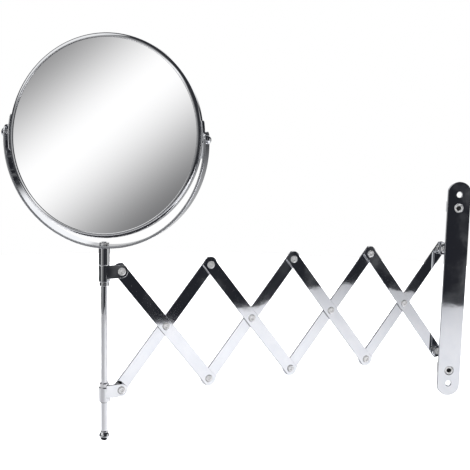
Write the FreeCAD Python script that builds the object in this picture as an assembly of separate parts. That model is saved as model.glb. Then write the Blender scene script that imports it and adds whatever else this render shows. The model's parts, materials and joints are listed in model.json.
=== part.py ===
import FreeCAD, Part
import math
import os

V = FreeCAD.Vector
os.makedirs("parts", exist_ok=True)

# ---------------------------------------------------------------- driving sizes, mm and degrees
# Scissor arm
LINK_PITCH = 132.0        # end hole to end hole of one flat link
LINK_ANGLE = 51.3         # slope of the links in the stored pose
LINK_ANGLE_MAX = 75.0     # slope with the arm pushed in
LINK_COUNT = 4            # crossed pairs
LINK_W = 11.5             # strip width
LINK_T = 1.5              # strip thickness
LINK_END_R = 7.0          # end arc, centred on the end hole
LAYER_GAP = 0.6           # between the front and the back layer of links
RIVET_R = 2.0             # rivet shank
HEAD_R = 3.4              # rivet head
HEAD_T = 1.0              # rivet head thickness
DIMPLE_R = 1.6            # hollow in a rivet head
DIMPLE_D = 0.4

# Rods and the sleeves that turn on them
ROD_R = 2.75
SLEEVE_WALL = 1.8
LUG_T = 2.0
LUG_R = 5.6               # round end of a lug, and half its height
COLLAR_RIM = 3.7          # length of the narrow ring at one end of a sleeve
TAIL_DROP = 40.0          # lower mirror pivot to the ball's centre
BALL_R = 4.3

# Wall bracket
PLATE_W = 22.4
PLATE_T = 3.0
PLATE_END_R = 11.6        # arc at each end of the plate
PLATE_EDGE_R = 1.1        # rounding of the plate's edges
SCREW_HOLE_R = 2.7
SCREW_TO_RIVET = 13.1     # wall-screw hole to the hollow rivet beside it
END_TO_SCREW = 12.6       # plate end to the wall-screw hole
ROD_STANDOFF = 15.5       # wall face to the rod's axis
BLOCK_W = 18.6
BLOCK_H = 10.5
STOP_RING_L = 3.3         # ring between the lower block and the lower sleeve
RAIL_SPARE = 6.0          # free rod above the upper sleeve with the arm pushed in

# Mirror head
RING_R = 83.1             # outside of the rim
RING_LIP = 3.8            # how far the rim covers the glass
RING_DEPTH = 9.0
RING_WALL = 0.9
GLASS_T = 2.2
GLASS_SLACK = 0.4         # radial room for the glass in the rim
SEPARATOR_T = 0.8
BOWL_RADIUS = 2200.0      # curvature of the magnifying glass
SADDLE_T = 1.0
SADDLE_W = 7.2
SADDLE_HALF = 10.3        # half of a saddle's arc, degrees
BUSH_T = 1.0
BUSH_R = 3.2
YOKE_W = 12.5
YOKE_T = 2.0
YOKE_LEG = 4.9            # straight leg between the pivot and the bend
YOKE_TOP = 6.5            # yoke end above the pivot
NECK_L = 14.9
NUT_AF = 7.0
NUT_T = 2.2
KNOB_R = 4.1
KNOB_T = 4.0

# Stored pose
ARM_SWING = 22.5          # arm turned about the wall rod, from along the plate
HEAD_TURN = -17.0         # mirror turned about its own rod
HEAD_TILT = 7.0           # top of the mirror leaning back

# Clearances
RUN = 0.05                # radial, between a shaft and what turns on it
FACE = 0.1                # between faces that rub
GAP = 0.3                 # between pieces that pass each other

# ---------------------------------------------------------------- derived sizes
SLEEVE_R = ROD_R + RUN + SLEEVE_WALL
RIM_R = SLEEVE_R - 0.55
LUG_REACH = SLEEVE_R + LINK_END_R + 2.2
LINK_H = LINK_PITCH * math.sin(math.radians(LINK_ANGLE))
LINK_X = LINK_PITCH * math.cos(math.radians(LINK_ANGLE))
LINK_H_MAX = LINK_PITCH * math.sin(math.radians(LINK_ANGLE_MAX))
UPPER_TOP = LUG_R                       # sleeve ends, measured from the pivot
UPPER_BOTTOM = -8.4
LOWER_TOP = 3.5
LOWER_BOTTOM = -9.6

RAIL = FACE + STOP_RING_L - LOWER_BOTTOM + LINK_H_MAX + UPPER_TOP + RAIL_SPARE
RIVET_Z = RAIL / 2 + BLOCK_H / 2
SCREW_Z = RIVET_Z + SCREW_TO_RIVET
PLATE_HALF = SCREW_Z + END_TO_SCREW

Z_B = -RAIL / 2 + STOP_RING_L + FACE - LOWER_BOTTOM      # lower row of pivots
Z_T = Z_B + LINK_H                                       # upper row of pivots
Z_C = (Z_B + Z_T) / 2                                    # crossing pivots

Y_FRONT = -LAYER_GAP / 2 - LINK_T       # front face of the front links
Y_BACK = LAYER_GAP / 2 + LINK_T         # back face of the back links
Y_LUG = -SLEEVE_R                       # front face of a lug

ROD_SPAN = 2 * LUG_REACH + LINK_COUNT * LINK_X
YOKE_HALF = RING_R + SADDLE_T + BUSH_T + FACE + YOKE_T   # outside of the yoke arms
YOKE_DROP = YOKE_HALF + YOKE_LEG                         # pivot axis to the yoke's underside
Z_NECK = Z_T + UPPER_TOP + FACE
Z_YOKE = Z_NECK + NECK_L
Z_PIVOT = Z_YOKE + YOKE_DROP
Z_BALL = Z_B - TAIL_DROP


# ---------------------------------------------------------------- helpers
def solid_of(shape):
    """The one outward-facing solid of a revolved or extruded face."""
    solid = shape.Solids[0] if shape.Solids else shape
    if solid.Volume < 0:
        solid.reverse()
    return solid


def outline(path):
    """Wire in the XZ plane. A step is (x, z) for a line or (xm, zm, x, z) for an arc."""
    start = V(path[0][0], 0, path[0][1])
    here = start
    edges = []
    for step in path[1:]:
        there = V(step[-2], 0, step[-1])
        if (there - here).Length < 1e-6:
            continue
        if len(step) == 4:
            edges.append(Part.Arc(here, V(step[0], 0, step[1]), there).toShape())
        else:
            edges.append(Part.makeLine(here, there))
        here = there
    if (here - start).Length > 1e-6:
        edges.append(Part.makeLine(here, start))
    return Part.Wire(edges)


def lathe(path):
    """Turn an (r, z) outline about Z."""
    return solid_of(Part.Face(outline(path)).revolve(V(0, 0, 0), V(0, 0, 1), 360))


def slab(path, y0, y1):
    """Extrude an XZ outline from y0 to y1."""
    face = Part.Face(outline(path))
    face.translate(V(0, y0, 0))
    return solid_of(face.extrude(V(0, y1 - y0, 0)))


def along(shape, origin, direction):
    """Place a shape made about Z onto another axis."""
    out = shape.copy()
    out.Placement = FreeCAD.Placement(origin, FreeCAD.Rotation(V(0, 0, 1), direction))
    return out


def tube(radius, bore, z0, z1, chamfer=0.0):
    """Upright ring, with its outer edges broken by a chamfer."""
    c = chamfer
    return lathe([(bore, z0), (radius - c, z0), (radius, z0 + c),
                  (radius, z1 - c), (radius - c, z1), (bore, z1)])


def hole(radius, origin, direction, length):
    return Part.makeCylinder(radius, length, origin, direction)


PLACES = {}


def set_place(name, x, y, turn):
    PLACES[name] = FreeCAD.Placement(V(x, y, 0), FreeCAD.Rotation(V(0, 0, 1), turn))


def save(node, shapes, place=None, tilt=False):
    """Write one node: a solid, or a group of separate solids."""
    if not isinstance(shapes, list):
        shapes = [shapes]
    placed = []
    for shape in shapes:
        item = solid_of(shape.copy())
        if tilt:
            item.rotate(V(0, 0, Z_PIVOT), V(1, 0, 0), -HEAD_TILT)
        if place:
            item.Placement = PLACES[place].multiply(item.Placement)
        placed.append(item)
    out = placed[0] if len(placed) == 1 else Part.makeCompound(placed)
    out.exportStep("parts/%s.step" % node)
    print(node, len(placed), [round(s.Volume, 1) for s in placed][:4], all(s.isValid() for s in placed))


# The arm hangs from the wall rod and runs to -X in its own frame, with its front facing -Y.
set_place("arm", 0, ROD_STANDOFF, ARM_SWING)
swing = math.radians(ARM_SWING)
MIRROR_X = -ROD_SPAN * math.cos(swing)
MIRROR_Y = ROD_STANDOFF - ROD_SPAN * math.sin(swing)
set_place("wall_rod", 0, ROD_STANDOFF, 0)
set_place("mirror", MIRROR_X, MIRROR_Y, HEAD_TURN)
set_place("mirror_collar", MIRROR_X, MIRROR_Y, ARM_SWING)

# ---------------------------------------------------------------- wall bracket
half_w = PLATE_W / 2
sag = PLATE_END_R - math.sqrt(PLATE_END_R ** 2 - half_w ** 2)
plate = slab([(-half_w, -PLATE_HALF + sag), (0, -PLATE_HALF, half_w, -PLATE_HALF + sag),
              (half_w, PLATE_HALF - sag), (0, PLATE_HALF, -half_w, PLATE_HALF - sag)], 0, PLATE_T)
plate = plate.makeFillet(PLATE_EDGE_R, [e for e in plate.Edges
                                        if abs(e.BoundBox.YLength) < 1e-6])
FLARE_R = RIVET_R + 2.5
SHANK_R = RIVET_R + 0.9
for z in (-SCREW_Z, SCREW_Z):
    plate = plate.cut(hole(SCREW_HOLE_R, V(0, -1, z), V(0, 1, 0), PLATE_T + 2))
flare = Part.makeCone(FLARE_R, SHANK_R, FLARE_R - SHANK_R)
eyelet = lathe([(RIVET_R + 0.2, 0), (FLARE_R, 0), (SHANK_R, FLARE_R - SHANK_R),
                (SHANK_R, 8.0), (RIVET_R + 0.2, 8.0)])
eyelets = []
for z in (-RIVET_Z, RIVET_Z):
    plate = plate.cut(hole(SHANK_R, V(0, -1, z), V(0, 1, 0), PLATE_T + 2))
    plate = plate.cut(along(flare, V(0, 0, z), V(0, 1, 0)))
    eyelets.append(along(eyelet, V(0, 0, z), V(0, 1, 0)))
save("wall_plate", plate)
save("bracket_rivets", eyelets)

# Each block is a rounded boss on the plate that holds one end of the wall rod.
block_r = BLOCK_W / 2
block_mid = ROD_STANDOFF - block_r / 2
for name, z in (("rod_block_lower", -RIVET_Z), ("rod_block_upper", RIVET_Z)):
    z0 = z - BLOCK_H / 2
    base = Part.makeBox(BLOCK_W, block_mid - PLATE_T, BLOCK_H, V(-block_r, PLATE_T, z0))
    nose = Part.makeCylinder(block_r, BLOCK_H, V(0, block_mid, z0))
    nose = nose.common(Part.makeBox(BLOCK_W, block_r, BLOCK_H, V(-block_r, block_mid, z0)))
    block = base.fuse(nose).removeSplitter()
    block = block.makeChamfer(0.6, [e for e in block.Edges if abs(e.BoundBox.ZLength) < 1e-6
                                    and e.BoundBox.YMax > PLATE_T + 0.1])
    block = block.cut(hole(ROD_R, V(0, ROD_STANDOFF, z0 - 1), V(0, 0, 1), BLOCK_H + 2))
    block = block.cut(hole(SHANK_R, V(0, PLATE_T - 1, z), V(0, 1, 0), 8.0 - PLATE_T + 1))
    save(name, block)

rod_top = RIVET_Z + BLOCK_H / 2 + 1.2
save("wall_rod", tube(ROD_R, 0, -rod_top, rod_top, 0.7), "wall_rod")
save("wall_rod_stop_ring", tube(RIM_R, ROD_R, -RAIL / 2, -RAIL / 2 + STOP_RING_L, 0.4), "wall_rod")


# ---------------------------------------------------------------- sleeves with lugs
def sleeve(z_pivot, top, bottom, rim_below, side):
    """Sleeve that turns on a rod, the lug tangent to its front, and the narrow ring at one end."""
    z0 = z_pivot + bottom
    z1 = z_pivot + top
    body = tube(SLEEVE_R, ROD_R + RUN, z0, z1, 0.5)
    if rim_below:
        rim_z = (z0 - COLLAR_RIM, z0)
    else:
        rim_z = (z1, z1 + COLLAR_RIM)
    rim = tube(RIM_R, ROD_R + RUN, rim_z[0], rim_z[1], 0.35)
    tip = side * LUG_REACH
    tab = slab([(0, z_pivot - LUG_R), (tip, z_pivot - LUG_R),
                (tip + side * LUG_R, z_pivot, tip, z_pivot + LUG_R), (0, z_pivot + LUG_R)],
               Y_LUG, Y_LUG + LUG_T)
    body = body.fuse(tab)
    body = body.cut(hole(ROD_R + RUN, V(0, 0, z_pivot - 30), V(0, 0, 1), 60))
    body = body.cut(Part.makeCylinder(RIM_R, COLLAR_RIM, V(0, 0, rim_z[0])))
    body = body.cut(hole(RIVET_R + RUN, V(tip, Y_LUG - 1, z_pivot), V(0, 1, 0), LUG_T + 2))
    return body.removeSplitter(), rim


for end, place, side in (("wall", "arm", -1), ("mirror", "mirror_collar", 1)):
    upper, upper_rim = sleeve(Z_T, UPPER_TOP, UPPER_BOTTOM, True, side)
    lower, lower_rim = sleeve(Z_B, LOWER_TOP, LOWER_BOTTOM, False, side)
    save("sleeve_upper_%s" % end, upper, place)
    save("sleeve_rim_upper_%s" % end, upper_rim, place)
    save("sleeve_lower_%s" % end, lower, place)
    save("sleeve_rim_lower_%s" % end, lower_rim, place)


# ---------------------------------------------------------------- scissor links
def x_end(i):
    """Distance of a row of pivots from the wall rod, along the arm."""
    return -(LUG_REACH + i * LINK_X)


def x_mid(i):
    return -(LUG_REACH + (i - 0.5) * LINK_X)


def link(x_centre, lean, y0, hole_radii):
    """Flat strip with three holes, turned to its slope."""
    half = LINK_PITCH / 2
    w = LINK_W / 2
    reach = math.sqrt(LINK_END_R ** 2 - w ** 2)
    strip = slab([(-half - reach, -w), (half + reach, -w), (half + LINK_END_R, 0, half + reach, w),
                  (-half - reach, w), (-half - LINK_END_R, 0, -half - reach, -w)], y0, y0 + LINK_T)
    for x, r in zip((-half, 0, half), hole_radii):
        strip = strip.cut(hole(r, V(x, y0 - 1, 0), V(0, 1, 0), LINK_T + 2))
    strip.rotate(V(0, 0, 0), V(0, 1, 0), lean)
    strip.translate(V(x_centre, 0, Z_C))
    return strip


def rivet(y_front, y_back):
    """Rivet with a dished head before y_front and another behind y_back."""
    r = HEAD_R
    t = HEAD_T
    e = 0.35 * t
    k = 0.8 * t
    return lathe([(0, y_front - t + DIMPLE_D), (DIMPLE_R, y_front - t), (r - k, y_front - t),
                  (r - 0.25 * k, y_front - t + 0.35 * (t - e), r, y_front - e), (r, y_front),
                  (RIVET_R, y_front), (RIVET_R, y_back), (r, y_back), (r, y_back + e),
                  (r - 0.25 * k, y_back + t - 0.35 * (t - e), r - k, y_back + t),
                  (DIMPLE_R, y_back + t), (0, y_back + t - DIMPLE_D)])


def washer(y0, y1):
    return tube(HEAD_R, RIVET_R + RUN, y0, y1, 0.1)


PLAIN = rivet(Y_FRONT, Y_BACK + FACE)                     # front link to back link
LUG_FRONT = rivet(Y_LUG - FACE, Y_FRONT + LINK_T)         # lug to front link
LUG_BACK = rivet(Y_LUG - FACE, Y_BACK)                    # lug to back link
THIN = washer(-LAYER_GAP / 2 + FACE, LAYER_GAP / 2)
LUG_THIN = washer(Y_LUG + LUG_T + FACE, Y_FRONT)
LUG_THICK = washer(Y_LUG + LUG_T + FACE, LAYER_GAP / 2)
FIXED = RIVET_R
LOOSE = RIVET_R + RUN


def at(shape, x, z):
    return along(shape, V(x, 0, z), V(0, 1, 0))


for i in range(1, LINK_COUNT + 1):
    # The front link slopes down towards the wall and holds its own rivets.
    save("link_front_%d" % i, link(x_mid(i), LINK_ANGLE, Y_FRONT, (FIXED, FIXED, FIXED)), "arm")
    # The back link slopes up towards the wall and turns on the front links' rivets.
    near = FIXED if i == 1 else LOOSE
    far = FIXED if i == LINK_COUNT else LOOSE
    save("link_back_%d" % i, link(x_mid(i), -LINK_ANGLE, LAYER_GAP / 2, (far, LOOSE, near)), "arm")
    plain = [at(PLAIN, x_mid(i), Z_C)]
    if i > 1:
        plain.append(at(PLAIN, x_end(i - 1), Z_B))
    if i < LINK_COUNT:
        plain.append(at(PLAIN, x_end(i), Z_T))
    save("link_rivets_%d" % i, plain, "arm")
    thin = [at(THIN, x_mid(i), Z_C)]
    if i > 1:
        thin.append(at(THIN, x_end(i - 1), Z_T))
    if i < LINK_COUNT:
        thin.append(at(THIN, x_end(i), Z_B))
    save("link_washers_%d" % i, thin, "arm")

save("lug_rivet_lower_wall", at(LUG_FRONT, x_end(0), Z_B), "arm")
save("lug_washer_lower_wall", at(LUG_THIN, x_end(0), Z_B), "arm")
save("lug_rivet_upper_wall", at(LUG_BACK, x_end(0), Z_T), "arm")
save("lug_spacer_upper_wall", at(LUG_THICK, x_end(0), Z_T), "arm")
save("lug_rivet_upper_mirror", at(LUG_FRONT, x_end(LINK_COUNT), Z_T), "arm")
save("lug_washer_upper_mirror", at(LUG_THIN, x_end(LINK_COUNT), Z_T), "arm")
save("lug_rivet_lower_mirror", at(LUG_BACK, x_end(LINK_COUNT), Z_B), "arm")
save("lug_spacer_lower_mirror", at(LUG_THICK, x_end(LINK_COUNT), Z_B), "arm")

# ---------------------------------------------------------------- mirror rod, neck and ball
STUD_R = ROD_R - 0.75
FLAT = math.sqrt(BALL_R ** 2 - ROD_R ** 2)
z_flat = Z_BALL + FLAT
z_in = Z_YOKE + YOKE_T
stud_top = z_in + NUT_T + 0.6
save("mirror_rod", lathe([(0, Z_BALL), (STUD_R, Z_BALL), (STUD_R, z_flat), (ROD_R + 0.25, z_flat),
                          (ROD_R + 0.25, z_flat + 0.6), (ROD_R, z_flat + 1.4), (ROD_R, Z_YOKE),
                          (STUD_R, Z_YOKE), (STUD_R, stud_top - 0.4), (STUD_R - 0.4, stud_top),
                          (0, stud_top)]), "mirror")
ball = Part.makeSphere(BALL_R, V(0, 0, Z_BALL))
ball = ball.cut(Part.makeBox(20, 20, 20, V(-10, -10, z_flat)))
ball = ball.cut(hole(STUD_R, V(0, 0, Z_BALL), V(0, 0, 1), 20))
save("ball_end", ball, "mirror")
save("neck_sleeve", tube(SLEEVE_R, ROD_R, Z_NECK, Z_YOKE, 0.4), "mirror")

# ---------------------------------------------------------------- yoke
y_in = YOKE_HALF - YOKE_T
z_bend = Z_PIVOT - YOKE_LEG
z_end = Z_PIVOT + YOKE_TOP
arms = slab([(-YOKE_HALF, z_end), (-YOKE_HALF, z_bend), (0, z_bend - YOKE_HALF, YOKE_HALF, z_bend),
             (YOKE_HALF, z_end), (y_in, z_end), (y_in, z_bend),
             (0, z_bend - y_in, -y_in, z_bend), (-y_in, z_end)], -YOKE_W / 2, YOKE_W / 2)
# The ends are rounded across the strip.
end_r = YOKE_W / 2
z_round = z_end - end_r
for sx in (-1, 1):
    x0 = sx * (YOKE_HALF - YOKE_T / 2) - YOKE_T
    corner = Part.makeBox(2 * YOKE_T, YOKE_W + 2, end_r + 1, V(x0, -end_r - 1, z_round))
    corner = corner.cut(Part.makeCylinder(end_r, 2 * YOKE_T, V(x0, 0, z_round), V(1, 0, 0)))
    arms = arms.cut(corner)
arms = arms.cut(hole(RIVET_R + RUN, V(-YOKE_HALF - 5, 0, Z_PIVOT), V(1, 0, 0), 2 * YOKE_HALF + 10))
arms = arms.cut(hole(STUD_R, V(0, 0, Z_YOKE - 5), V(0, 0, 1), 15))
arms = arms.cut(hole(NUT_AF / 2 + 1.0, V(0, 0, z_in), V(0, 0, 1), 10))
save("yoke", arms, "mirror")

corner_r = NUT_AF / 2 / math.cos(math.radians(30))
hexagon = [V(corner_r * math.cos(math.radians(a)), corner_r * math.sin(math.radians(a)), z_in)
           for a in range(30, 391, 60)]
nut = Part.Face(Part.makePolygon(hexagon)).extrude(V(0, 0, NUT_T))
nut = nut.cut(hole(STUD_R, V(0, 0, z_in - 1), V(0, 0, 1), NUT_T + 2))
save("yoke_nut", nut, "mirror")

# ---------------------------------------------------------------- mirror, rim and pivots
d = RING_DEPTH / 2
c = 2.5                                # outer corner of the rim's section
q = c * (1 - math.sqrt(0.5))
ci = c - RING_WALL
qi = ci * (1 - math.sqrt(0.5))
lip = RING_R - RING_LIP
ri = RING_R - RING_WALL                # inside of the channel
di = d - RING_WALL
rim = lathe([(lip, -d), (RING_R - c, -d), (RING_R - q, -d + q, RING_R, -d + c), (RING_R, d - c),
             (RING_R - q, d - q, RING_R - c, d), (lip, d), (lip, di), (ri - ci, di),
             (ri - qi, di - qi, ri, di - ci), (ri, -di + ci), (ri - qi, -di + qi, ri - ci, -di),
             (lip, -di)])


def facing(shape):
    """Put a shape turned about Z onto the mirror's own axis, its low end to the front."""
    return along(shape, V(0, 0, Z_PIVOT), V(0, 1, 0))


def pivot(shape, side):
    """Put a shape turned about Z onto the pivot axis, pointing outwards."""
    return along(shape, V(0, 0, Z_PIVOT), V(side, 0, 0))


rim = facing(rim)
rim = rim.cut(hole(RIVET_R, V(-RING_R - 5, 0, Z_PIVOT), V(1, 0, 0), 10))
rim = rim.cut(hole(RIVET_R, V(RING_R - 5, 0, Z_PIVOT), V(1, 0, 0), 10))
save("mirror_rim", rim, "mirror", True)

glass_r = ri - GLASS_SLACK
# The rim's inner corner is round, so the glass edge is ground to clear it.
bevel = 1.3
save("mirror_plain", facing(lathe([(0, -di), (glass_r - bevel, -di), (glass_r, -di + bevel),
                                   (glass_r, -di + GLASS_T), (0, -di + GLASS_T)])), "mirror", True)
sep0 = -di + GLASS_T
sep1 = sep0 + SEPARATOR_T
save("separator_disc", facing(lathe([(0, sep0), (glass_r, sep0), (glass_r, sep1), (0, sep1)])),
     "mirror", True)
# The magnifying glass is a shallow bowl whose hollow side faces out of the back.
edge_in = di - GLASS_T
bowl = BOWL_RADIUS - math.sqrt(BOWL_RADIUS ** 2 - glass_r ** 2)
half_bowl = BOWL_RADIUS - math.sqrt(BOWL_RADIUS ** 2 - (glass_r / 2) ** 2)
flat_r = glass_r - bevel
bowl_out = BOWL_RADIUS - math.sqrt(BOWL_RADIUS ** 2 - flat_r ** 2)
mid_out = BOWL_RADIUS - math.sqrt(BOWL_RADIUS ** 2 - (flat_r / 2) ** 2)
save("mirror_magnifying",
     facing(lathe([(0, edge_in - bowl), (glass_r / 2, edge_in - bowl + half_bowl, glass_r, edge_in),
                   (glass_r, di - bevel), (flat_r, di),
                   (flat_r / 2, di - bowl_out + mid_out, 0, di - bowl_out)])), "mirror", True)
save("glass_spacer_ring", facing(tube(glass_r, glass_r - 2.4, sep1, edge_in - FACE)), "mirror", True)

saddle_mid = RING_R + SADDLE_T / 2
saddle_band = lathe([(RING_R, -SADDLE_W / 2), (RING_R + SADDLE_T - 0.3, -SADDLE_W / 2),
                     (RING_R + SADDLE_T, -SADDLE_W / 2 + 0.3),
                     (RING_R + SADDLE_T, SADDLE_W / 2 - 0.3),
                     (RING_R + SADDLE_T - 0.3, SADDLE_W / 2), (RING_R, SADDLE_W / 2)])
reach = 2 * RING_R
half_z = reach * math.tan(math.radians(SADDLE_HALF))
wedge = slab([(0, 0), (reach, -half_z), (reach, half_z)], -20, 20)
# The knobs are domed over a short straight rim.
k0 = YOKE_HALF + FACE
k1 = k0 + 0.8
rise = KNOB_T - 0.8
dome_r = (KNOB_R ** 2 + rise ** 2) / (2 * rise)
k_mid = k0 + KNOB_T - dome_r + math.sqrt(dome_r ** 2 - (KNOB_R / 2) ** 2)
saddles = []
bushes = []
screws = []
for side in (-1, 1):
    cut = wedge.copy()
    if side < 0:
        cut.rotate(V(0, 0, 0), V(0, 1, 0), 180)
    cut.translate(V(0, 0, Z_PIVOT))
    piece = facing(saddle_band).common(cut)
    piece = piece.cut(hole(RIVET_R, V(side * (RING_R - 5), 0, Z_PIVOT), V(side, 0, 0), 10))
    saddles.append(piece)
    bushes.append(pivot(tube(BUSH_R, RIVET_R, RING_R + SADDLE_T, RING_R + SADDLE_T + BUSH_T, 0.1),
                        side))
    screws.append(pivot(lathe([(0, ri), (RIVET_R, ri), (RIVET_R, k0), (KNOB_R, k0),
                               (KNOB_R, k1), (KNOB_R / 2, k_mid, 0, k0 + KNOB_T)]), side))
save("pivot_saddles", saddles, "mirror", True)
save("pivot_bushes", bushes, "mirror", True)
save("pivot_screws", screws, "mirror", True)
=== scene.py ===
# %% [markdown]
# # Extendable shaving mirror
# The real object is a round, two-sided mirror in a U-shaped yoke. The yoke turns on an upright
# rod, and a scissor arm of crossed flat links joins that rod to a second rod on a wall plate.
# Nearly every piece is chrome plate, so the picture is made of reflections. Round pieces need
# many faces and soft edges, flat pieces need truly flat faces with a thin bright rounding.
# The CAD model gives all places and joints, and this script gives each piece its finished form.

# %% Load the fixed frame
import json
from math import asin, atan2, cos, degrees, pi, radians, sin, sqrt, tan
import bpy
import bmesh
from mathutils import Matrix, Vector


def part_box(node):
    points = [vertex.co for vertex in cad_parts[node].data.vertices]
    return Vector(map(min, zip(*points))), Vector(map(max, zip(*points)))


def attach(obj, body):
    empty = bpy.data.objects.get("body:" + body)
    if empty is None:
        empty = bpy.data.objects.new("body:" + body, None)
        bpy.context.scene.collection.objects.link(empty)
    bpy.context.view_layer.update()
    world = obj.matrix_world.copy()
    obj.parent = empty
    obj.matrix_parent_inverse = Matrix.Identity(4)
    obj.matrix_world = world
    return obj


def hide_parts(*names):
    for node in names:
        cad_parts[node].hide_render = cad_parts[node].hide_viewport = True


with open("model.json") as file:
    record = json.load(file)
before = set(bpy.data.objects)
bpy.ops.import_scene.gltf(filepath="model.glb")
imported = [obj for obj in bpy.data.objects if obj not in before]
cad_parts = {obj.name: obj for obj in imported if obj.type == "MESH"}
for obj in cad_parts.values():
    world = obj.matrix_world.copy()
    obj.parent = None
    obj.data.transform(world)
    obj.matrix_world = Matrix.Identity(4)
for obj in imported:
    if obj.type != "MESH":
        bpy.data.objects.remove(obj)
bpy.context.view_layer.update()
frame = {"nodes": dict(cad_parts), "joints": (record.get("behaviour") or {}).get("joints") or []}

scene = bpy.context.scene
MM = 0.001

# %% [markdown]
# ## Places
# Every pivot is a joint of the CAD model, so its place is read from there. The arm, the mirror's
# rod and the mirror itself each get a frame of their own, in which their pieces are easy to draw.
# In the arm's frame X runs towards the wall, Y away from the front face and Z up.

# %% Frames of the arm, the rod and the mirror
joints = {joint["name"]: joint for joint in frame["joints"]}
UP = Vector((0, 0, 1))


def joint_at(name):
    return Vector(joints[name]["pos_m"])


def frame_of(origin, across, back):
    """Matrix whose X is across and whose Y is back, at origin."""
    turn = Matrix((across, back, UP)).transposed().to_4x4()
    return Matrix.Translation(origin) @ turn


arm_back = Vector(joints["arm_extend"]["axis"]).normalized()
arm_across = arm_back.cross(UP)
wall_axis = joint_at("arm_swing")
wall_axis.z = 0
ARM = frame_of(wall_axis, arm_across, arm_back)
WALL = Matrix.Translation(wall_axis)
head_across = Vector(joints["mirror_tilt"]["axis"]).normalized()
head_back = UP.cross(head_across)
rod_axis = joint_at("mirror_swivel")
rod_axis.z = 0
ROD = frame_of(rod_axis, head_across, head_back)
COLLAR = frame_of(rod_axis, arm_across, arm_back)

reach = (wall_axis - joint_at("arm_extend")).dot(arm_across)
step = (joint_at("lug_upper_wall") - joint_at("top_1")).dot(arm_across)
z_low = joint_at("arm_extend").z
z_top = joint_at("lug_upper_wall").z
z_mid = (z_low + z_top) / 2
z_pivot = joint_at("mirror_tilt").z
lean = atan2(z_top - z_low, step)
TILT = radians(7.0)
HEAD = ROD @ Matrix.Translation((0, 0, z_pivot)) @ Matrix.Rotation(-TILT, 4, "X")


def x_end(i):
    return -(reach + i * step)


def x_mid(i):
    return -(reach + (i - 0.5) * step)


print("reach", round(reach, 4), "step", round(step, 4), "lean", round(degrees(lean), 2))

# %% [markdown]
# ## Shader maths as plain expressions
# A material is a small formula. This class wraps a node socket, so that `0.04 + 0.03 * haze`
# adds the Math nodes by itself. One method, `node`, makes any other node from its type, its
# settings and its inputs.

# %% A socket that takes part in arithmetic
class Wire:
    """One node's output. Arithmetic on it adds Math nodes to the tree."""

    def __init__(self, tree, socket):
        self.tree = tree
        self.socket = socket

    def _maths(self, operation, first, second):
        node = self.tree.nodes.new("ShaderNodeMath")
        node.operation = operation
        for slot, value in ((0, first), (1, second)):
            if isinstance(value, Wire):
                self.tree.links.new(value.socket, node.inputs[slot])
            else:
                node.inputs[slot].default_value = value
        return Wire(self.tree, node.outputs[0])

    def __add__(self, other):
        return self._maths("ADD", self, other)

    def __radd__(self, other):
        return self._maths("ADD", other, self)

    def __mul__(self, other):
        return self._maths("MULTIPLY", self, other)

    def __rmul__(self, other):
        return self._maths("MULTIPLY", other, self)

    def most(self, other):
        return self._maths("MAXIMUM", self, other)

    def least(self, other):
        return self._maths("MINIMUM", self, other)


class Sheet:
    """A node tree that is written as expressions."""

    def __init__(self, tree):
        self.tree = tree
        tree.nodes.clear()

    def node(self, kind, settings=None, out=0, **inputs):
        """Any node. An input is named, with _ for a space, or is i and its number."""
        made = self.tree.nodes.new(kind)
        for key, value in (settings or {}).items():
            setattr(made, key, value)
        for key, value in inputs.items():
            numbered = key[0] == "i" and key[1:].isdigit()
            socket = made.inputs[int(key[1:]) if numbered else key.replace("_", " ")]
            if isinstance(value, Wire):
                self.tree.links.new(value.socket, socket)
            else:
                socket.default_value = value
        return Wire(self.tree, made.outputs[out])

    def noise(self, where, scale, detail=3.0, roughness=0.5):
        return self.node("ShaderNodeTexNoise", Vector=where, Scale=scale,
                         Detail=detail, Roughness=roughness)

    def band(self, value, low, high, to_low=0.0, to_high=1.0):
        """Smooth step of value from low to high."""
        return self.node("ShaderNodeMapRange", {"interpolation_type": "SMOOTHSTEP"}, 0,
                         Value=value, i1=low, i2=high, i3=to_low, i4=to_high)

    def blend(self, factor, first, second):
        """Colour that goes from first to second as factor goes from 0 to 1."""
        return self.node("ShaderNodeMix", {"data_type": "RGBA"}, 2, i0=factor, i6=first,
                         i7=second)

    def show(self, shader, kind="ShaderNodeOutputMaterial"):
        """Send a shader to the tree's output."""
        out = self.tree.nodes.new(kind)
        self.tree.links.new(shader.socket, out.inputs["Surface"])


def grey(level):
    return (level, level, level, 1.0)


print("shader helpers ready")

# %% [markdown]
# ## Chrome
# Polished chrome is a mirror with small faults: the rolled strip under it is very slightly wavy,
# rubbing leaves a haze of fine marks, and handling leaves faint smudges. The waviness is a low
# bump that bends reflections, and the marks only change roughness, as they do on the real plate.

# %% Materials: how plated metal is made
OBJECT_COORDINATES = 3                # output of the Texture Coordinate node
DULLED = (0.93, 0.94, 0.955)          # share of the tint that is left where the plate is dull
BORE_SHADE_DEPTHS = (0.4 * MM, 1.3 * MM)      # depths between which painted shade darkens a bore


def opaque(colour, share=(1.0, 1.0, 1.0)):
    return tuple(c * s for c, s in zip(colour, share)) + (1.0,)


def new_material(name):
    """An empty material, the sheet to write it on, and its object coordinates."""
    material = bpy.data.materials.new(name)
    material.use_nodes = True
    sheet = Sheet(material.node_tree)
    return material, sheet, sheet.node("ShaderNodeTexCoord", None, OBJECT_COORDINATES)


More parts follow.
